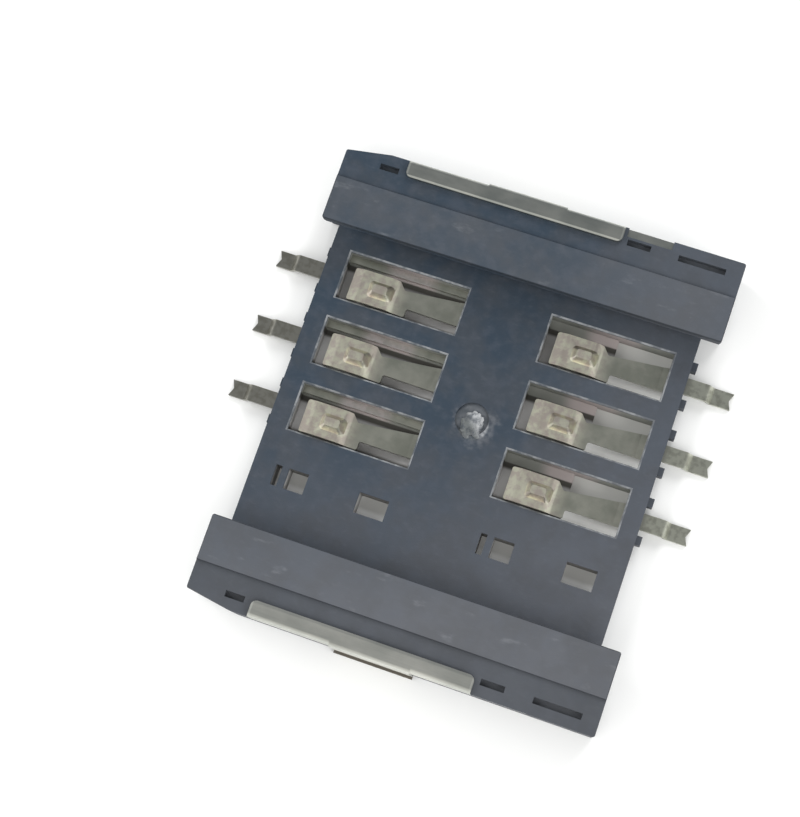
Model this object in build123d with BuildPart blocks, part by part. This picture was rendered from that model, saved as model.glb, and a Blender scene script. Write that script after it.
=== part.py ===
from build123d import *
import os

# Card and contact grid, in millimetres, fixed by the card format
card_width = 15.0
card_thickness = 0.76
contact_pitch_x = 7.62
contact_pitch_y = 2.54
contact_field_offset_y = 0.09
fitted_rows = 3
grid_rows = 4

# Card channel
card_side_clearance = 0.075
card_height_clearance = 0.14
entry_lead_in = 0.15

# Housing
side_wall = 0.975
floor_thickness = 0.9
lip_thickness = 0.35
lip_reach = 1.98
floor_setback_entry = 0.45
floor_setback_far = 0.68
rail_base_setback = 0.45
entry_margin = 0.755
far_margin = 0.7
shoulder_width = 1.29
shoulder_depth = 0.1
corner_cut_length = 1.65
corner_cut_depth = 0.27
corner_radius = 0.08
edge_round = 0.05

# Contact windows, placed around the raised point of each contact
window_length = 4.5
window_width = 1.75
window_before_point = 1.5
window_above_point = 0.24
window_rim = 0.06
through_part_start = 2.5

# Openings of the unfitted row, measured from where its windows would start
core_hole_width = 0.75
core_hole_drop = 0.04
core_hole_spans = ((0.08, 0.31), (0.56, 1.3), (3.2, 4.3))

# Moulding gate
gate_x = -0.05
gate_y = 0.55
gate_recess_radius = 0.6
gate_recess_depth = 0.08
gate_stub_shift_x = 0.05
gate_stub_shift_y = -0.15
gate_stub_radius = 0.3
gate_stub_height = 0.16

# Nubs beside each solder tail
nub_offset = 0.7
nub_width = 0.32
nub_reach = 0.2
nub_reach_entry = 0.1
nub_low = 0.15
nub_height = 0.45

# Contact strip
strip_thickness = 0.15
strip_bottom = 0.25
tail_width = 0.6
tail_notch = 0.12
tail_drop_run = 0.2
tail_bend_radius = 0.1
near_tail_reach = 1.86
near_tail_foot = 0.6
far_tail_reach = 1.73
far_tail_foot = 0.75
anchor_width = 1.3
anchor_length = 0.3
anchor_inset = 0.15
rail_inside = 0.25
rail_outside = 0.15
root_bar = 0.38

# Contact spring
head_end_gap = 0.38
head_side_gap = 0.045
head_length = 1.7
head_width = 1.2
wing_length = 2.18
neck_low = -0.5
neck_high = 0.11
root_low = -0.45
root_high = 0.44
spring_corner = 0.08
spring_step_height = 0.155
spring_step_run = 0.23
head_above_floor = 0.13
head_dip_length = 0.38
head_dip_depth = 0.2
spring_bend_radius = 0.15
point_length = 0.98
point_width = 0.68
point_top_length = 0.54
point_top_width = 0.3
point_height = 0.28
point_base_round = 0.16
point_top_round = 0.08

# Hold-down clips
clip_thickness = 0.15
clip_inset = 2.33
clip_length = 8.02
clip_flange_width = 0.625
clip_corner_radius = 0.22
clip_web_depth = 0.95
clip_bend_radius = 0.08
clip_leg_width = 0.31
clip_leg_drop = 0.15
clip_leg_overlap = 0.2
clip_tab_inset = 2.97
clip_tab_length = 2.9
clip_tab_proud = 0.05
clip_foot_reach = 0.1
clip_prong_length = 0.45
clip_prong_width = 0.6
clip_prong_inset = 0.8

# Recesses in the shoulder of each rail
pocket_depth = 0.25
pocket_width = 0.22
pocket_wall = 0.4
entry_pocket_inset = 1.35
entry_pocket_length = 0.7
clip_pocket_gap = 0.2
clip_pocket_length = 0.85
far_pocket_inset = 0.6
far_pocket_length = 1.7
notch_gap = 0.12
notch_length = 1.64

# Sizes that follow from the ones above
channel_width = card_width + 2 * card_side_clearance
channel_height = card_thickness + card_height_clearance
floor_length = entry_margin + contact_pitch_x + window_length + far_margin
body_length = floor_setback_entry + floor_length + floor_setback_far
body_width = channel_width + 2 * side_wall
body_height = floor_thickness + channel_height + lip_thickness
wall_face = body_width / 2
lip_edge = channel_width / 2 - lip_reach
shoulder_top = body_height - shoulder_depth
entry_end = -body_length / 2
far_end = body_length / 2
floor_entry_end = entry_end + floor_setback_entry
floor_far_end = far_end - floor_setback_far
column_starts = (floor_entry_end + entry_margin, floor_entry_end + entry_margin + contact_pitch_x)
first_point_y = contact_field_offset_y + contact_pitch_y * (grid_rows - 1) / 2
first_row_y = first_point_y + window_above_point
row_centres = [first_row_y - row * contact_pitch_y for row in range(fitted_rows)]
strip_middle = strip_bottom + strip_thickness / 2
strip_top = strip_bottom + strip_thickness
head_low = head_side_gap - window_width / 2
head_high = head_low + head_width
head_top = floor_thickness + head_above_floor
clip_start = entry_end + clip_inset
clip_end = clip_start + clip_length
clip_web_bottom = shoulder_top - clip_web_depth
notch_start = clip_end + notch_gap
notch_end = notch_start + notch_length
pocket_spans = (
    (entry_end + entry_pocket_inset, entry_end + entry_pocket_inset + entry_pocket_length),
    (clip_end + clip_pocket_gap, clip_end + clip_pocket_gap + clip_pocket_length),
    (far_end - far_pocket_inset - far_pocket_length, far_end - far_pocket_inset),
)

os.makedirs("parts", exist_ok=True)


def box_between(low, high, mode=Mode.ADD):
    """A box between two opposite corners, joined to the part being built or only returned."""
    sizes = [high[i] - low[i] for i in range(3)]
    middle = [(high[i] + low[i]) / 2 for i in range(3)]
    with Locations(tuple(middle)):
        return Box(*sizes, mode=mode)


def outline_sketch(points, radius=0.0, rounded=()):
    """A closed outline of straight sides in plan, with the corners at some of its points rounded."""
    with BuildSketch(Plane.XY) as outline:
        with BuildLine():
            Polyline(*points, close=True)
        make_face()
        if rounded:
            corners = [outline.vertices().sort_by_distance(points[i])[0] for i in rounded]
            fillet(corners, radius=radius)
    return outline.sketch


def bent_sheet_sketch(plane, path, radius, thickness):
    """The edge view of a bent sheet: a path of even thickness with rounded bends."""
    with BuildSketch(plane) as edge_view:
        with BuildLine() as middle_line:
            FilletPolyline(*path, radius=radius)
        trace(middle_line.line, line_width=thickness)
    return edge_view.sketch


def bent_strip(plan, side_path, bend_radius):
    """Contact strip of the first row, with its outline seen from above and its path seen from the side."""
    side_plane = Plane.XZ.offset(-first_row_y - window_width)
    side = bent_sheet_sketch(side_plane, side_path, bend_radius, strip_thickness)
    with BuildPart() as strip:
        extrude(plan, amount=body_height)
        extrude(side, amount=2 * window_width, mode=Mode.INTERSECT)
    return strip.part


def make_spring(x0):
    """The sprung tongue of a contact, from the window's end to its free head with the raised point."""
    root = x0 + window_length
    root_end = root + root_bar
    tip = x0 + head_end_gap
    head_end = tip + head_length
    neck_start = head_end + spring_step_run
    head_middle = head_top - strip_thickness / 2
    plan_points = (
        (root_end, first_row_y + root_low),
        (root, first_row_y + root_low),
        (tip + wing_length, first_row_y + neck_low),
        (tip + wing_length, first_row_y + head_low),
        (tip, first_row_y + head_low),
        (tip, first_row_y + head_high),
        (head_end, first_row_y + head_high),
        (neck_start, first_row_y + neck_high),
        (root, first_row_y + root_high),
        (root_end, first_row_y + root_high),
    )
    side_path = (
        (root_end, strip_middle),
        (root - spring_step_run, strip_middle),
        (head_end, head_middle - spring_step_height),
        (head_end - spring_step_run, head_middle),
        (tip + head_dip_length, head_middle),
        (tip - strip_thickness, head_middle - head_dip_depth),
    )
    plan = outline_sketch(plan_points, spring_corner, rounded=range(2, 8))
    with BuildPart() as spring:
        add(bent_strip(plan, side_path, spring_bend_radius))
        for drop, mode in ((0, Mode.ADD), (strip_thickness, Mode.SUBTRACT)):
            with BuildSketch(Plane.XY.offset(head_middle - drop)):
                with Locations((x0 + window_before_point, first_point_y)):
                    RectangleRounded(point_length, point_width, point_base_round)
            with BuildSketch(Plane.XY.offset(head_top + point_height - drop)):
                with Locations((x0 + window_before_point, first_point_y)):
                    RectangleRounded(point_top_length, point_top_width, point_top_round)
            loft(mode=mode)
    return spring.part


def make_tail(root_x, tip_x, foot_length):
    """A solder tail: straight out of the floor, down in a step, and flat on the board to a notched tip."""
    outward = 1 if tip_x > root_x else -1
    plan_points = (
        (root_x, first_row_y + tail_width / 2),
        (tip_x, first_row_y + tail_width / 2),
        (tip_x - outward * tail_notch, first_row_y),
        (tip_x, first_row_y - tail_width / 2),
        (root_x, first_row_y - tail_width / 2),
    )
    foot_start = tip_x - outward * foot_length
    side_path = (
        (root_x, strip_middle),
        (foot_start - outward * tail_drop_run, strip_middle),
        (foot_start, strip_thickness / 2),
        (tip_x, strip_thickness / 2),
    )
    return bent_strip(outline_sketch(plan_points), side_path, tail_bend_radius)


def make_far_contact():
    """A contact of the first row whose tail leaves at the far end, straight behind its spring."""
    x0 = column_starts[1]
    root = x0 + window_length
    anchor = root + anchor_inset
    with BuildPart() as contact:
        add(make_spring(x0))
        add(make_tail(root, floor_far_end + far_tail_reach, far_tail_foot))
        box_between(
            (anchor, first_row_y - anchor_width / 2, strip_bottom),
            (anchor + anchor_length, first_row_y + anchor_width / 2, strip_top),
        )
    return contact.part


def make_near_contact():
    """A contact of the first row whose tail leaves at the entry end, joined to its spring by a side rail."""
    x0 = column_starts[0]
    root = x0 + window_length
    anchor = x0 - anchor_inset
    rail_low = first_row_y + window_width / 2 - rail_inside
    rail_high = first_row_y + window_width / 2 + rail_outside
    with BuildPart() as contact:
        add(make_spring(x0))
        add(make_tail(anchor, floor_entry_end - near_tail_reach, near_tail_foot))
        box_between(
            (anchor - anchor_length, first_row_y - anchor_width / 2, strip_bottom),
            (anchor, rail_high, strip_top),
        )
        box_between((anchor - anchor_length, rail_low, strip_bottom), (root, rail_high, strip_top))
        box_between(
            (root, first_row_y + root_low, strip_bottom), (root + root_bar, rail_high, strip_top)
        )
    return contact.part


def make_hold_down(side):
    """A hold-down clip: flange on the shoulder, web in the wall, solder tab with a foot on the board."""
    flange_edge = wall_face - clip_flange_width
    flange_middle = shoulder_top + clip_thickness / 2
    web_middle = wall_face - clip_thickness / 2
    tab_middle = web_middle + clip_tab_proud
    foot_middle = clip_thickness / 2
    foot_tip = wall_face + clip_tab_proud + clip_foot_reach
    prong_tip = wall_face - clip_thickness - clip_prong_length
    prong_middle = clip_web_bottom + clip_thickness / 2
    web_path = ((flange_edge, flange_middle), (web_middle, flange_middle), (web_middle, clip_web_bottom))
    tab_path = (
        (flange_edge, flange_middle),
        (tab_middle, flange_middle),
        (tab_middle, foot_middle),
        (foot_tip, foot_middle),
    )
    prong_root = prong_middle + 2 * clip_bend_radius
    prong_path = ((prong_tip, prong_middle), (web_middle, prong_middle), (web_middle, prong_root))
    tab_start = clip_start + clip_tab_inset
    prong_starts = (clip_start + clip_prong_inset, clip_end - clip_prong_inset - clip_prong_width)
    leg_top = shoulder_top - clip_leg_drop
    leg_faces = sorted((side * (wall_face - clip_leg_width), side * wall_face))

    def bent_section(path, start):
        """The edge view of one bend of this clip, on the side that it is made for."""
        points = [(side * y, z) for y, z in path]
        return bent_sheet_sketch(Plane.YZ.offset(start), points, clip_bend_radius, clip_thickness)

    with BuildPart() as clip:
        extrude(bent_section(web_path, clip_start), amount=clip_length)
        extrude(bent_section(tab_path, tab_start), amount=clip_tab_length)
        upright_edges = clip.edges().filter_by(Axis.Z)
        fillet(upright_edges.sort_by(lambda edge: abs(edge.center().Y))[:2], radius=clip_corner_radius)
        for start in prong_starts:
            extrude(bent_section(prong_path, start), amount=clip_prong_width)
        box_between(
            (clip_end - clip_leg_overlap, leg_faces[0], leg_top - clip_thickness),
            (notch_end + clip_leg_overlap, leg_faces[1], leg_top),
        )
    return clip.part


far_contact = make_far_contact()
near_contact = make_near_contact()
metal_pieces = {"hold_down_back": make_hold_down(1), "hold_down_front": make_hold_down(-1)}
for row in range(fitted_rows):
    row_place = Location((0, -row * contact_pitch_y, 0))
    metal_pieces[f"contact_c{row + 1}"] = far_contact.moved(row_place)
    metal_pieces[f"contact_c{row + 1 + grid_rows}"] = near_contact.moved(row_place)

with BuildPart() as housing:
    # Floor and the two side rails, with a lower shoulder outside each lip
    box_between(
        (floor_entry_end, -channel_width / 2, 0), (floor_far_end, channel_width / 2, floor_thickness)
    )
    for side in (1, -1):
        rail_points = (
            (entry_end, side * lip_edge),
            (far_end, side * lip_edge),
            (far_end, side * wall_face),
            (entry_end + corner_cut_length, side * wall_face),
            (entry_end, side * (wall_face - corner_cut_depth)),
        )
        extrude(outline_sketch(rail_points, corner_radius, rounded=(0, 1, 2, 4)), amount=body_height)
        shoulder_y = sorted((side * (wall_face - shoulder_width), side * body_width))
        box_between(
            (entry_end, shoulder_y[0], shoulder_top),
            (far_end, shoulder_y[1], body_height),
            mode=Mode.SUBTRACT,
        )
    lip_faces = housing.faces().filter_by(Axis.Z).group_by(Axis.Z)[-1]
    fillet(lip_faces.edges(), radius=edge_round)

    # Card channel, flared at the entry end
    box_between(
        (entry_end, -channel_width / 2, floor_thickness),
        (far_end, channel_width / 2, floor_thickness + channel_height),
        mode=Mode.SUBTRACT,
    )
    with BuildSketch(Plane.YZ.offset(entry_end)):
        with Locations((0, floor_thickness + channel_height / 2)):
            Rectangle(channel_width + 2 * entry_lead_in, channel_height + 2 * entry_lead_in)
    extrude(amount=entry_lead_in, taper=45, mode=Mode.SUBTRACT)

    # Nubs beside the tails
    nubs = []
    for y0 in row_centres:
        for end_x, reach in ((floor_entry_end, nub_reach_entry), (floor_far_end, nub_reach)):
            for nub_y in (y0 - nub_offset, y0 + nub_offset):
                low = (end_x - reach, nub_y - nub_width / 2, nub_low)
                high = (end_x + reach, nub_y + nub_width / 2, nub_low + nub_height)
                nubs.append(box_between(low, high, mode=Mode.PRIVATE))
    add(nubs)

    # Contact pockets, open below the tongues of the far column, and the openings of the unfitted row
    openings = []
    for y0 in row_centres:
        low_y = y0 - window_width / 2
        high_y = y0 + window_width / 2
        for x0 in column_starts:
            high = (x0 + window_length, high_y, floor_thickness)
            openings.append(box_between((x0, low_y, strip_bottom), high, mode=Mode.PRIVATE))
        through_low = (column_starts[1] + through_part_start, low_y, 0)
        through_high = (column_starts[1] + window_length, high_y, strip_top)
        openings.append(box_between(through_low, through_high, mode=Mode.PRIVATE))
    hole_y = first_row_y - fitted_rows * contact_pitch_y - core_hole_drop
    for x0 in column_starts:
        for start, end in core_hole_spans:
            low = (x0 + start, hole_y - core_hole_width / 2, 0)
            high = (x0 + end, hole_y + core_hole_width / 2, floor_thickness)
            openings.append(box_between(low, high, mode=Mode.PRIVATE))
    add(openings, mode=Mode.SUBTRACT)

    # Chamfered rim of each contact pocket
    with BuildSketch(Plane.XY.offset(floor_thickness)):
        with Locations(*[(x0 + window_length / 2, y0) for x0 in column_starts for y0 in row_centres]):
            Rectangle(window_length + 2 * window_rim, window_width + 2 * window_rim)
    extrude(amount=-window_rim, taper=45, mode=Mode.SUBTRACT)

    # Gate recess with its stub
    with BuildSketch(Plane.XY.offset(floor_thickness - gate_recess_depth)):
        with Locations((gate_x, gate_y)):
            Circle(gate_recess_radius)
    extrude(amount=gate_recess_depth, mode=Mode.SUBTRACT)
    with BuildSketch(Plane.XY.offset(floor_thickness - gate_recess_depth)):
        with Locations((gate_x + gate_stub_shift_x, gate_y + gate_stub_shift_y)):
            Circle(gate_stub_radius)
    extrude(amount=gate_stub_height)

    # Seats of the clips' webs, rail bases past the floor, core pockets, notch beside the back clip
    recesses = []
    for side in (1, -1):
        seat_y = sorted((side * (wall_face - clip_thickness), side * wall_face))
        low = (clip_start, seat_y[0], clip_web_bottom)
        high = (clip_end, seat_y[1], body_height)
        recesses.append(box_between(low, high, mode=Mode.PRIVATE))
        base_y = sorted((side * lip_edge, side * (lip_edge + rail_base_setback)))
        for start, end in ((entry_end, floor_entry_end), (floor_far_end, far_end)):
            low = (start, base_y[0], 0)
            high = (end, base_y[1], floor_thickness)
            recesses.append(box_between(low, high, mode=Mode.PRIVATE))
        pocket_y = sorted((side * (wall_face - pocket_wall), side * (wall_face - pocket_wall - pocket_width)))
        for start, end in pocket_spans:
            low = (start, pocket_y[0], shoulder_top - pocket_depth)
            high = (end, pocket_y[1], shoulder_top)
            recesses.append(box_between(low, high, mode=Mode.PRIVATE))
    notch_low = (notch_start, wall_face - clip_leg_width, shoulder_top - clip_leg_drop)
    recesses.append(box_between(notch_low, (notch_end, wall_face, shoulder_top), mode=Mode.PRIVATE))
    add(recesses, mode=Mode.SUBTRACT)

    # Seats of the moulded-in metal pieces
    add(metal_pieces.values(), mode=Mode.SUBTRACT)

for name, piece in (("housing", housing.part), *metal_pieces.items()):
    piece.label = name
    export_step(piece, f"parts/{name}.step")
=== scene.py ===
import bmesh
import bpy
import math
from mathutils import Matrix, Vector, noise


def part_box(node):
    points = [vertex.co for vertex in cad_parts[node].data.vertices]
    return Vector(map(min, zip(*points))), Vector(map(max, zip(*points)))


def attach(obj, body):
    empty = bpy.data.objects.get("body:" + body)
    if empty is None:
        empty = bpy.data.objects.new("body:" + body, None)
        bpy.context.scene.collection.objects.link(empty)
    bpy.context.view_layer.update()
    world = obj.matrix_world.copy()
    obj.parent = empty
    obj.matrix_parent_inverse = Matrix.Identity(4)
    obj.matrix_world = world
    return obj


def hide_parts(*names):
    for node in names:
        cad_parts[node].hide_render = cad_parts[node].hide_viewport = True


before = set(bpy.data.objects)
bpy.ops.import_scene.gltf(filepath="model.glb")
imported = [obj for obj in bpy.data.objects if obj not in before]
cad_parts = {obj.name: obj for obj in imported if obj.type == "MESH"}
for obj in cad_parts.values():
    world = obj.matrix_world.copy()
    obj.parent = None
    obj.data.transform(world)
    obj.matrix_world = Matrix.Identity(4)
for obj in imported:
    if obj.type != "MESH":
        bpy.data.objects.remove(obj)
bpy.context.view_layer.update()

MM = 0.001

# Camera, found from the photograph's own perspective, in millimetres and degrees
camera_place = (5.461, -9.803, 60.652)
camera_turn = (11.336, 4.157, 19.172)
camera_lens = 76.17
camera_sensor = 36.0
camera_near = 10.0
camera_far = 4000.0

# Studio light: a tent, bright low down and darker overhead, and all of it brighter at the front
side_bright = (1.10, 1.11, 1.10)
side_dim = (0.50, 0.51, 0.52)
side_rise = (-0.6, 0.6)
top_bright = (0.86, 0.85, 0.83)
top_dark = (0.29, 0.30, 0.31)
top_rise = (-0.3, 0.5)
tent_rise = (0.3, 0.8)
tent_strength = 1.0

# Square lamps round the object: name, place and width in millimetres, power in watts
softboxes = (
    ("softbox_right", (300, -100, 190), 200, 0.65),
    ("softbox_left", (-280, 40, 190), 200, 0.6),
    ("softbox_back", (40, 290, 200), 200, 0.74),
    ("softbox_front", (-4, -34, 38), 30, 0.003),
)

# Floor: half its width and its depth under the board in metres, and the strength of its own light
floor_half_width = 1.5
floor_drop = 0.00001
floor_glow = 0.09

# Edge breaks of the moulded, the stamped and the bent pieces, in millimetres and degrees
moulded_edge = 0.03
strip_edge = 0.02
plate_edge = 0.07
edge_steps = 2
merge_gap = 0.0005
flat_turn = 0.5
sharp_turn = 28.0

# Places on the housing, in millimetres
housing_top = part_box("housing")[1][2] / MM
shoulder_top = 2.05
rim_low = 0.835
windows_half_length = 6.3
windows_half_width = 5.4
row_offset = 1.27
column_place = 3.81
tongue_offset = 0.12
core_half_width = 8.3
core_half_length = 6.9

# Torn stump of the gate, in millimetres: its tears are given by depth and fineness
gate_centre = (0.06, 0.36)
gate_stub_top = 0.86
gate_ball_radius = 0.42
gate_ball_steps = 5
gate_ball_scale = (0.95, 1.15, 0.55)
gate_ball_height = 0.85
gate_tears = ((0.16, 4.0), (0.06, 13.0))

# Edge of the hold-down plates, rolled over where the punch cut it, in millimetres
plate_reach = 0.775
plate_length = 8.02
plate_low, plate_high = [Vector(corner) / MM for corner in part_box("hold_down_back")]
plate_inner_edge = plate_high.y - plate_reach
plate_end = plate_low.x + plate_length
plate_roll = 0.09

# Where a mask rises from 0 to 1, or fades from 1 to 0, in millimetres on the object
painted_light_front_rise = (-2.0, 9.0)
right_rise = (0.5, 5.5)
lip_rise = (shoulder_top + 0.03, housing_top - 0.02)
shoulder_rise = (1.9, 1.95)
shoulder_fade = (shoulder_top + 0.01, shoulder_top + 0.04)
shoulder_front_rise = (6.5, 7.0)
step_shade_rise = (shoulder_top - 0.1, shoulder_top)
rim_rise = (rim_low, rim_low + 0.01)
rim_fade = (0.95, 1.0)
pocket_fade = (rim_low - 0.12, rim_low)
beside_tongue_rise = (0.45, 0.6)
ledge_rise = (0.84, 0.9)
core_side_rise = (7.4, 7.45)
core_rise = (1.7, 1.75)
core_fade = (1.98, 2.02)
recess_rise = (0.75, 0.8)
recess_fade = (0.84, 0.895)
scar_rise = (gate_stub_top, gate_stub_top + 0.06)
scar_light_rise = (-0.25, 0.35)
head_rise = (0.75, 0.95)
head_reach = 0.6
rail_highlight_rise = (0.72, 0.8)
outside_rise = (6.6, 6.9)
clip_painted_light_rise = (-4.0, 4.0)
foot_shade_fade = (0.25, 0.6)
plate_top_rise = (shoulder_top, shoulder_top + 0.05)
far_shade_rise = (0.1, 0.3)
near_light_fade = (-0.3, -0.1)

# The same round the gate, in square millimetres from its middle
scar_fade = (0.22, 0.34)
smear_fade = (0.15, 0.75)
recess_round_fade = (0.5, 0.6)

# The same for how far a face is turned upward, from 0 for a wall to 1 for a top
top_face_rise = (0.9, 0.99)
edge_face_fade = (0.8, 0.98)
slope_rise = (0.3, 0.45)
slope_fade = (0.85, 0.98)

# The same for the clouds of noise
even_rise = (0.35, 0.65)
wide_rise = (0.3, 0.7)
mottle_rise = (0.42, 0.7)
scuff_rise = (0.6, 0.85)
fleck_rise = (0.5, 0.85)
torn_rise = (0.3, 0.65)
blotch_rise = (0.4, 0.66)

# Clouds of noise: feature size in millimetres, detail, and the stretch of those that are drawn out
patch_cloud = (2.6, 4.0)
tint_cloud = (1.3, 3.0)
mottle_cloud = (0.45, 4.0)
fibre_cloud = (0.16, 4.0, (0.5, 1.0, 1.0))
grain_cloud = (0.035, 2.0)
scuff_cloud = (0.5, 6.0, (0.5, 1.2, 1.0))
rim_cloud = (0.35, 3.0)
torn_cloud = (0.22, 4.0)
smear_cloud = (0.5, 2.0)
strip_rolled_cloud = (0.05, 3.0, (0.06, 1.0, 1.0))
strip_tarnish_cloud = (0.7, 4.0)
strip_stain_cloud = (0.28, 3.0)
blotch_cloud = (0.22, 4.0)
clip_rolled_cloud = (0.06, 3.0, (0.05, 1.0, 1.0))
clip_tarnish_cloud = (0.9, 4.0, (0.6, 1.0, 1.0))
floor_cloud = (30.0, 1.0)
cloud_roughness = 0.55

# How far clouds push a mask about, and how far the painted-light paler front leans to one side
front_wander = 4.0
front_lean = 0.25
smear_wander = 2.0

# How strongly each wash of colour shows
right_share = 0.6
tint_share = 0.45
mottle_share = 0.22
shoulder_share = 0.4
step_shade_share = 0.6
fleck_share = 0.1
scuff_share = 0.35
core_light_share = 0.2
recess_light_share = 0.5
smear_share = 0.35
blotch_share = 0.4

# The same where a cloud makes it uneven: the least of it, and what the cloud adds
lip_sheen_share = (0.04, 0.12)
rim_highlight_share = (0.25, 0.7)
scar_share = (0.25, 0.75)
rail_highlight_share = (0.5, 0.5)

# Roughness: of the bare surface, and what each cloud adds
plastic_roughness = 0.5
grain_roughness = 0.1
patch_roughness = 0.12
scuff_roughness = 0.1
strip_roughness = 0.24
strip_rolled_roughness = 0.14
clip_roughness = 0.22
clip_rolled_roughness = 0.12
tarnish_roughness = 0.12
floor_roughness = 0.9

# Relief: its depth in millimetres, and each cloud's part in it
plastic_relief = 0.008
grain_relief = 0.5
fibre_relief = 0.5
strip_relief = 0.003
clip_relief = 0.035
clip_rolled_relief = 0.08
floor_relief = 0.001

# Shine of the plastic, and whether a surface is metal
plastic_shine = 0.3
bare_metal = 1.0
no_metal = 0.0

# Colours of the housing
# Painted light and shade: the housing is painted darker at the back and paler at the front
navy_back_painted_shade = (0.029, 0.043, 0.061)
navy_front_painted_light = (0.091, 0.097, 0.111)
navy_right = (0.083, 0.089, 0.102)
navy_tint = (0.055, 0.058, 0.064)
navy_mottle = (0.078, 0.088, 0.110)
navy_shoulder = (0.046, 0.051, 0.058)
# Painted sheen: the lip tops are made paler
lip_painted_sheen = (0.21, 0.21, 0.215)
# Painted shade on the step edges under the lips
step_painted_shade = (0.012, 0.014, 0.018)
glass_fleck = (0.16, 0.17, 0.19)
scuff_pale = (0.3, 0.31, 0.33)
# Painted highlight on the sloping rims round the windows
rim_painted_highlight = (0.27, 0.28, 0.29)
# Painted light and shade in the contact pockets: lit grey, and dark further from the tongues
pocket_painted_light = (0.38, 0.375, 0.37)
pocket_painted_shade = (0.06, 0.057, 0.05)
# Painted light on the ledge beside each tongue, with a warm painted highlight near the heads
ledge_painted_light = (0.21, 0.215, 0.195)
ledge_painted_highlight = (0.35, 0.31, 0.30)
# Painted light that lifts the shade in the shoulders' moulding pockets
core_painted_light = (0.16, 0.165, 0.17)
# Painted light that lifts the shade in the gate recess
recess_painted_light = (0.11, 0.12, 0.13)
smear_grey = (0.20, 0.205, 0.22)
# Painted shade and painted highlight on the two sides of the gate stump
scar_painted_shade = (0.13, 0.14, 0.14)
scar_painted_highlight = (0.44, 0.45, 0.46)

# Colours of the contacts
strip_dull = (0.39, 0.40, 0.34)
strip_clean = (0.53, 0.53, 0.46)
# Painted highlight on the contacts' side rails near the heads
rail_painted_highlight = (0.74, 0.68, 0.66)
# Painted sheen: the raised heads are made paler and warmer
head_rosy_painted_sheen = (0.72, 0.64, 0.56)
head_straw_painted_sheen = (0.90, 0.88, 0.71)
# Painted light and shade: the left-hand tails darker, the right-hand tails lighter
tail_left_painted_shade = (0.37, 0.362, 0.322)
tail_right_painted_light = (0.60, 0.61, 0.52)
tail_stain = (0.17, 0.165, 0.13)

# Colours of the hold-down clips
clip_back_dull = (0.38, 0.40, 0.375)
clip_back_clean = (0.52, 0.53, 0.49)
# Painted light: the front clip is paler than the back one
clip_front_painted_lit_dull = (0.52, 0.53, 0.49)
clip_front_painted_lit_clean = (0.66, 0.66, 0.61)
# Painted shade on the low feet of the clips
foot_painted_shade = (0.22, 0.20, 0.17)

# Colours of the floor and of its light
floor_pale = (0.80, 0.805, 0.80)
floor_paler = (0.82, 0.82, 0.815)
# Painted shade on the floor under the far side of each window row
floor_painted_shade_band = (0.42, 0.42, 0.40)
glow_plain = (1.0, 1.0, 0.97)
# Painted light: a brighter glow under the near side of each window row
glow_painted_light_band = (2.3, 2.3, 2.2)

# Sockets that the shader nodes tell apart by number alone
x_axis, y_axis, z_axis = range(3)
normal_output = 1
object_output = 3
mix_low, mix_high = 6, 7
mix_output = 2


class Shade:
    """A value inside one material, so that shader maths reads like arithmetic."""

    def __init__(self, tree, socket=None):
        self.tree = tree
        self.socket = socket

    def node(self, kind, settings=None, inputs=None, output=0):
        """Any node: its settings are made first, then its sockets get their values or links."""
        made = self.tree.nodes.new(kind)
        for name, setting in (settings or {}).items():
            setattr(made, name, setting)
        for name, given in (inputs or {}).items():
            if isinstance(given, Shade):
                self.tree.links.new(given.socket, made.inputs[name])
            else:
                made.inputs[name].default_value = given
        return Shade(self.tree, made.outputs[output] if made.outputs else None)

    def maths(self, operation, first, second, third=0.0):
        return self.node("ShaderNodeMath", {"operation": operation}, {0: first, 1: second, 2: third})

    def __add__(self, other):
        return self.maths("ADD", self, other)

    def __sub__(self, other):
        return self.maths("SUBTRACT", self, other)

    def __rsub__(self, other):
        return self.maths("SUBTRACT", other, self)

    def __mul__(self, other):
        return self.maths("MULTIPLY", self, other)

    def __pow__(self, other):
        return self.maths("POWER", self, other)

    __radd__ = __add__
    __rmul__ = __mul__

    def __abs__(self):
        return self.maths("ABSOLUTE", self, 0.0)

    def axis(self, number):
        """One of a vector's three values."""
        return self.node("ShaderNodeSeparateXYZ", None, {0: self}, output=number)

    def between(self, low, high):
        """0 below low, 1 above high, and a smooth rise from one to the other."""
        settings = {"interpolation_type": "SMOOTHSTEP"}
        inputs = {"Value": self, "From Min": low, "From Max": high}
        return self.node("ShaderNodeMapRange", settings, inputs)

    def fading(self, low, high):
        """1 below low, 0 above high, and a smooth fall from one to the other."""
        return 1.0 - self.between(low, high)

    def within(self, reach, fade=0.1):
        """1 up to reach on both sides of zero, and 0 past the fade beyond it."""
        return abs(self).fading(reach, reach + fade)

    def blend(self, low, high):
        """The colour low where this mask is 0 and the colour high where it is 1."""
        settings = {"data_type": "RGBA"}
        inputs = {"Factor": self}
        for name, colour in ((mix_low, low), (mix_high, high)):
            inputs[name] = colour if isinstance(colour, Shade) else (*colour, 1.0)
        return self.node("ShaderNodeMix", settings, inputs, output=mix_output)


def start_material(name):
    """A new material, its place in millimetres on the object, and the same place as three values."""
    material = bpy.data.materials.new(name)
    material.use_nodes = True
    material.node_tree.nodes.clear()
    shade = Shade(material.node_tree)
    coordinates = shade.node("ShaderNodeTexCoord", output=object_output)
    scaled = {0: coordinates, "Scale": 1 / MM}
    place = shade.node("ShaderNodeVectorMath", {"operation": "SCALE"}, scaled)
    return material, place, [place.axis(number) for number in (x_axis, y_axis, z_axis)]


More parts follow.
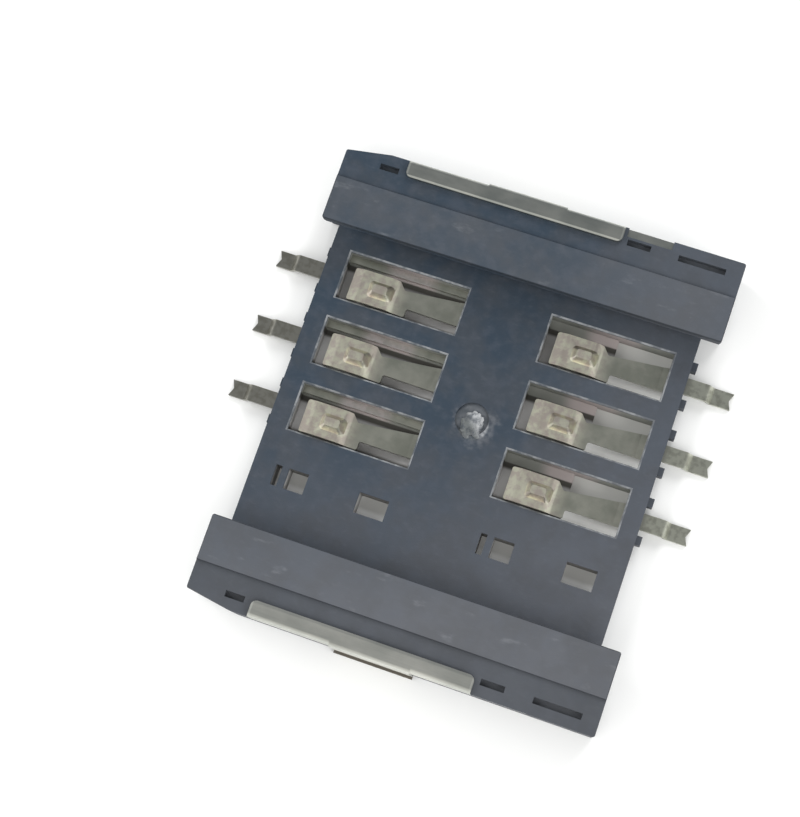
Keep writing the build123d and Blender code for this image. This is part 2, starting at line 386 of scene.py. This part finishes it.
def cloud(place, size, detail, stretch=(1.0, 1.0, 1.0)):
    """Soft noise from 0 to 1 with a feature size set in millimetres."""
    mapped = place.node("ShaderNodeMapping", None, {"Vector": place, "Scale": stretch})
    inputs = {"Vector": mapped, "Scale": 1 / size, "Detail": detail, "Roughness": cloud_roughness}
    return place.node("ShaderNodeTexNoise", {"noise_dimensions": "3D"}, inputs)


def uneven(clouds, least, added):
    """A share that is least where the clouds are 0, and has all of added where they are 1."""
    return least + clouds * added


def finish_material(material, place, colour, roughness, metallic, height, depth, even=None):
    """The closing nodes: a bump of the given depth in millimetres, the shader with its even values."""
    relief = {"Strength": 1.0, "Distance": depth * MM, "Height": height}
    inputs = {
        "Base Color": colour,
        "Roughness": roughness,
        "Metallic": metallic,
        "Normal": place.node("ShaderNodeBump", None, relief),
        **(even or {}),
    }
    shader = place.node("ShaderNodeBsdfPrincipled", None, inputs)
    place.node("ShaderNodeOutputMaterial", None, {"Surface": shader})
    return material


def from_row(y):
    """How far a place is from the middle of its own row of contacts, in millimetres."""
    return y.maths("WRAP", y + row_offset, row_offset, 0.0 - row_offset)


def near_heads(x):
    """1 over the heads of both columns of contacts, and 0 away from them."""
    return (abs(x) - column_place).within(head_reach, head_reach)


def over_windows(x, y):
    """1 over the part of the floor with the windows and the empty row, and 0 outside it."""
    return x.within(windows_half_length) * y.within(windows_half_width)


def navy_body(place, x, y, patches):
    """The body colour: cloudy moulded tone, paler to the right, and paler to the front as painted light.
    """
    wander = (patches - 0.5) * front_wander
    toward_front = (0.0 - y + wander + x * front_lean).between(*painted_light_front_rise)
    # painted light and shade: darker at the back, paler at the front
    body = toward_front.blend(navy_back_painted_shade, navy_front_painted_light)
    paled = (x.between(*right_rise) * right_share).blend(body, navy_right)
    tint = cloud(place, *tint_cloud).between(*even_rise)
    tinted = (tint * tint_share).blend(paled, navy_tint)
    mottle = cloud(place, *mottle_cloud).between(*mottle_rise)
    return (mottle * mottle_share).blend(tinted, navy_mottle)


def side_rails(base, y, z, upward, patches, fibres, scuffs):
    """Scuffed lips with a painted sheen on their tops, a darker front shoulder, painted shade on the
    step edges under the lips, and glass flecks.
    """
    lip_top = z.between(*lip_rise) * upward.between(*top_face_rise)
    # painted sheen on the lip tops
    lip_sheened = (lip_top * uneven(patches, *lip_sheen_share)).blend(base, lip_painted_sheen)
    shoulder = z.fading(*shoulder_fade) * z.between(*shoulder_rise)
    front_shoulder = shoulder * (0.0 - y).between(*shoulder_front_rise)
    shaded = (front_shoulder * shoulder_share).blend(lip_sheened, navy_shoulder)
    # painted shade on the walls and bevels of the step under the lips
    step_shade_mask = z.between(*step_shade_rise) * upward.fading(*edge_face_fade)
    step_shaded = (step_shade_mask * step_shade_share).blend(shaded, step_painted_shade)
    flecked = (fibres.between(*fleck_rise) * fleck_share).blend(step_shaded, glass_fleck)
    return (scuffs * lip_top * scuff_share).blend(flecked, scuff_pale)


def contact_pockets(base, place, x, y, z, upward):
    """Painted highlights on the rims round the windows, and painted light and shade inside them: lit
    grey, darker further from each tongue, and a ledge beside each tongue with a painted highlight near
    the heads.
    """
    sloping = upward.between(*slope_rise) * upward.fading(*slope_fade)
    # painted highlight on the slopes of the window rims
    rim = z.between(*rim_rise) * z.fading(*rim_fade) * sloping
    highlight_patches = cloud(place, *rim_cloud).between(*even_rise)
    rim_highlighted = (rim * uneven(highlight_patches, *rim_highlight_share)).blend(base, rim_painted_highlight)
    off_row = from_row(y)
    beside_tongue = abs(off_row - tongue_offset).between(*beside_tongue_rise)
    # painted light and shade inside the pockets and on their ledges
    pocket_lit_and_shaded = beside_tongue.blend(pocket_painted_light, pocket_painted_shade)
    ledge_lit = near_heads(x).blend(ledge_painted_light, ledge_painted_highlight)
    inside = off_row.between(*ledge_rise).blend(pocket_lit_and_shaded, ledge_lit)
    pocket = over_windows(x, y) * z.fading(*pocket_fade)
    return pocket.blend(rim_highlighted, inside)


def core_pockets(base, x, y, z):
    """Painted light: the insides of the moulding pockets in the shoulders are made slightly paler,
    lifting their shade.
    """
    inside = y.within(core_half_width) * x.within(core_half_length)
    pocket = abs(y).between(*core_side_rise) * z.between(*core_rise) * z.fading(*core_fade)
    return (pocket * inside * core_light_share).blend(base, core_painted_light)


def gate_scar(base, place, x, y, z):
    """The pale torn stump of the gate, with a painted highlight on one side and painted shade on the
    other, in a recess painted grey to lift its shade, with a smear round it.
    """
    across = (x - gate_centre[0]) ** 2.0 + (y - gate_centre[1]) ** 2.0
    torn = cloud(place, *torn_cloud).between(*torn_rise)
    recess = across.fading(*recess_round_fade) * z.fading(*recess_fade) * z.between(*recess_rise)
    # painted light in the gate recess
    recess_lightened = (recess * recess_light_share).blend(base, recess_painted_light)
    wander = (cloud(place, *smear_cloud) - 0.5) * smear_wander
    smear = (across + wander).fading(*smear_fade)
    smeared = (smear * torn * smear_share).blend(recess_lightened, smear_grey)
    # painted highlight on the stump's side towards the light, painted shade on the other
    toward_light = (y + x - gate_centre[0] - gate_centre[1]).between(*scar_light_rise)
    stump_lit_and_shaded = toward_light.blend(scar_painted_shade, scar_painted_highlight)
    scar = across.fading(*scar_fade) * z.between(*scar_rise)
    return (scar * uneven(torn, *scar_share)).blend(smeared, stump_lit_and_shaded)


def make_housing_plastic():
    """Glass-filled navy plastic, finely grained, with painted highlights on its window rims and painted
    light and shade in its pockets.
    """
    material, place, (x, y, z) = start_material("housing_plastic_navy")
    upward = place.node("ShaderNodeNewGeometry", output=normal_output).axis(z_axis)
    patches = cloud(place, *patch_cloud)
    fibres = cloud(place, *fibre_cloud)
    grain = cloud(place, *grain_cloud)
    scuffs = cloud(place, *scuff_cloud).between(*scuff_rise)
    colour = navy_body(place, x, y, patches)
    colour = side_rails(colour, y, z, upward, patches, fibres, scuffs)
    colour = contact_pockets(colour, place, x, y, z, upward)
    colour = core_pockets(colour, x, y, z)
    colour = gate_scar(colour, place, x, y, z)
    roughness = plastic_roughness + grain * grain_roughness + patches * patch_roughness
    roughness = roughness + scuffs * scuff_roughness
    height = grain * grain_relief + fibres * fibre_relief
    even = {"Specular IOR Level": plastic_shine}
    return finish_material(material, place, colour, roughness, no_metal, height, plastic_relief, even)


def make_contact_metal():
    """Plated spring strip: rolled lengthways and blotched on the tails; a painted sheen makes the raised
    heads paler and warmer, the side rails by the heads get a painted highlight, and the right-hand tails
    are painted lighter than the left.
    """
    material, place, (x, y, z) = start_material("contact_metal_plated")
    rolled = cloud(place, *strip_rolled_cloud)
    tarnish = cloud(place, *strip_tarnish_cloud)
    stain = cloud(place, *strip_stain_cloud).between(*even_rise)
    head = z.between(*head_rise)
    strip = tarnish.between(*wide_rise).blend(strip_dull, strip_clean)
    # painted highlight on the side rails near the heads
    rail_highlight_mask = from_row(y).between(*rail_highlight_rise) * (1.0 - head) * near_heads(x)
    rail_highlighted = (rail_highlight_mask * uneven(stain, *rail_highlight_share)).blend(strip, rail_painted_highlight)
    # painted sheen on the raised heads
    spring = head.blend(rail_highlighted, stain.blend(head_rosy_painted_sheen, head_straw_painted_sheen))
    blotch = cloud(place, *blotch_cloud).between(*blotch_rise)
    # painted light and shade: tails lighter on the right than on the left
    tails_lit_by_side = x.between(*outside_rise).blend(tail_left_painted_shade, tail_right_painted_light)
    tails = (blotch * blotch_share).blend(tails_lit_by_side, tail_stain)
    colour = abs(x).between(*outside_rise).blend(spring, tails)
    roughness = strip_roughness + rolled * strip_rolled_roughness + tarnish * tarnish_roughness
    return finish_material(material, place, colour, roughness, bare_metal, rolled, strip_relief)


def make_clip_metal():
    """Plated sheet of the hold-down clips: pale and satin, softly tarnished, rolled over at its edge;
    the front clip is painted paler as lit, and the low feet are painted dark as shade.
    """
    material, place, (x, y, z) = start_material("clip_metal_plated")
    rolled = cloud(place, *clip_rolled_cloud)
    tarnish = cloud(place, *clip_tarnish_cloud)
    clean = tarnish.between(*wide_rise)
    back = clean.blend(clip_back_dull, clip_back_clean)
    # painted light: the front clip made paler
    front_painted_lit = clean.blend(clip_front_painted_lit_dull, clip_front_painted_lit_clean)
    plate = (0.0 - y).between(*clip_painted_light_rise).blend(back, front_painted_lit)
    # painted shade on the low feet
    colour = z.fading(*foot_shade_fade).blend(plate, foot_painted_shade)
    roughness = clip_roughness + rolled * clip_rolled_roughness + tarnish * tarnish_roughness
    from_ends = x.maths("MINIMUM", x - plate_low.x, plate_end - x)
    from_edge = x.maths("MINIMUM", abs(y) - plate_inner_edge, from_ends)
    roll = from_edge.between(0.0, plate_roll) * z.between(*plate_top_rise)
    height = roll + rolled * clip_rolled_relief
    return finish_material(material, place, colour, roughness, bare_metal, height, clip_relief)


def make_floor_finish():
    """Plain pale floor with a little light of its own. Under the windows each row has a darker band of
    painted shade on its far side and a brighter band of painted light on its near side, which give the
    openings their greys."""
    material, place, (x, y, z) = start_material("floor_white")
    mottle = cloud(place, *floor_cloud)
    off_row = from_row(y)
    windows = over_windows(x, y)
    # painted shade and painted light on the floor under the windows
    far_painted_shade = windows * off_row.between(*far_shade_rise)
    near_painted_light = windows * off_row.fading(*near_light_fade)
    colour = far_painted_shade.blend(mottle.blend(floor_pale, floor_paler), floor_painted_shade_band)
    glow = near_painted_light.blend(glow_plain, glow_painted_light_band)
    even = {"Emission Color": glow, "Emission Strength": floor_glow}
    return finish_material(
        material, place, colour, floor_roughness, no_metal, mottle, floor_relief, even
    )


def link(name, mesh, material):
    """A new object of this mesh in the scene, with one material."""
    piece = bpy.data.objects.new(name, mesh)
    bpy.context.scene.collection.objects.link(piece)
    mesh.materials.clear()
    mesh.materials.append(material)
    return piece


def mesh_of(bm, name):
    """A finished bmesh as a mesh."""
    mesh = bpy.data.meshes.new(name)
    bm.to_mesh(mesh)
    bm.free()
    return mesh


def dress(node, material, edge):
    """The same solid as the CAD node, with its edges broken as moulding or stamping leaves them."""
    bm = bmesh.new()
    bm.from_mesh(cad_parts[node].data)
    bmesh.ops.remove_doubles(bm, verts=bm.verts, dist=merge_gap * MM)
    flat = math.radians(flat_turn)
    bmesh.ops.dissolve_limit(bm, angle_limit=flat, verts=bm.verts, edges=bm.edges)
    piece = link(f"{node}_dressed", mesh_of(bm, f"{node}_dressed"), material)
    bevel = piece.modifiers.new("broken_edges", "BEVEL")
    bevel.width = edge * MM
    bevel.segments = edge_steps
    bevel.limit_method = "ANGLE"
    bevel.angle_limit = math.radians(sharp_turn)
    for polygon in piece.data.polygons:
        polygon.use_smooth = True
    piece.data.set_sharp_from_angle(angle=math.radians(sharp_turn))
    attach(piece, "root")
    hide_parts(node)


def make_gate_stub(material):
    """The torn stump left where the runner was broken off the floor."""
    bm = bmesh.new()
    bmesh.ops.create_icosphere(bm, subdivisions=gate_ball_steps, radius=gate_ball_radius)
    bmesh.ops.scale(bm, vec=gate_ball_scale, verts=bm.verts)
    for vertex in bm.verts:
        tear = sum(depth * noise.noise(vertex.co * fineness) for depth, fineness in gate_tears)
        vertex.co += vertex.normal * tear
    bmesh.ops.translate(bm, vec=(*gate_centre, gate_ball_height), verts=bm.verts)
    bmesh.ops.scale(bm, vec=(MM, MM, MM), verts=bm.verts)
    for face in bm.faces:
        face.smooth = True
    piece = link("gate_stub", mesh_of(bm, "gate_stub"), material)
    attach(piece, "root")


def make_floor():
    """The floor that the connector stands on."""
    bm = bmesh.new()
    bmesh.ops.create_grid(bm, x_segments=1, y_segments=1, size=floor_half_width)
    bmesh.ops.translate(bm, vec=(0, 0, -floor_drop), verts=bm.verts)
    floor = link("floor", mesh_of(bm, "floor"), make_floor_finish())


def make_tent():
    """Soft light from all round, by its direction: sides and top each rise towards the front."""
    world = bpy.data.worlds.new("studio")
    world.use_nodes = True
    world.node_tree.nodes.clear()
    direction = Shade(world.node_tree).node("ShaderNodeTexCoord")
    toward_front = 0.0 - direction.axis(y_axis)
    sides = toward_front.between(*side_rise).blend(side_dim, side_bright)
    top = toward_front.between(*top_rise).blend(top_dark, top_bright)
    tent = direction.axis(z_axis).between(*tent_rise).blend(sides, top)
    light = tent.node("ShaderNodeBackground", None, {"Color": tent, "Strength": tent_strength})
    light.node("ShaderNodeOutputWorld", None, {"Surface": light})
    bpy.context.scene.world = world


def make_softboxes():
    """The square lamps, turned to the middle of the object and unseen in its reflections."""
    for name, place, width, power in softboxes:
        lamp = bpy.data.lights.new(name, "AREA")
        lamp.size = width * MM
        lamp.energy = power
        box = bpy.data.objects.new(name, lamp)
        box.location = Vector(place) * MM
        box.rotation_euler = box.location.to_track_quat("Z", "Y").to_euler()
        box.visible_camera = False
        box.visible_glossy = False
        bpy.context.scene.collection.objects.link(box)


def make_camera():
    """The camera, at the photograph's viewpoint."""
    lens = bpy.data.cameras.new("camera")
    lens.sensor_width = camera_sensor
    lens.lens = camera_lens
    lens.clip_start = camera_near * MM
    lens.clip_end = camera_far * MM
    camera = bpy.data.objects.new("camera", lens)
    camera.location = Vector(camera_place) * MM
    camera.rotation_euler = [math.radians(angle) for angle in camera_turn]
    bpy.context.scene.collection.objects.link(camera)
    bpy.context.scene.camera = camera
    bpy.context.scene.view_settings.view_transform = "Standard"


plastic = make_housing_plastic()
contact_metal = make_contact_metal()
clip_metal = make_clip_metal()
dress("housing", plastic, moulded_edge)
for node in sorted(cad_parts):
    if node.startswith("contact"):
        dress(node, contact_metal, strip_edge)
    if node.startswith("hold_down"):
        dress(node, clip_metal, plate_edge)
make_gate_stub(plastic)
make_floor()
make_tent()
make_softboxes()
make_camera()
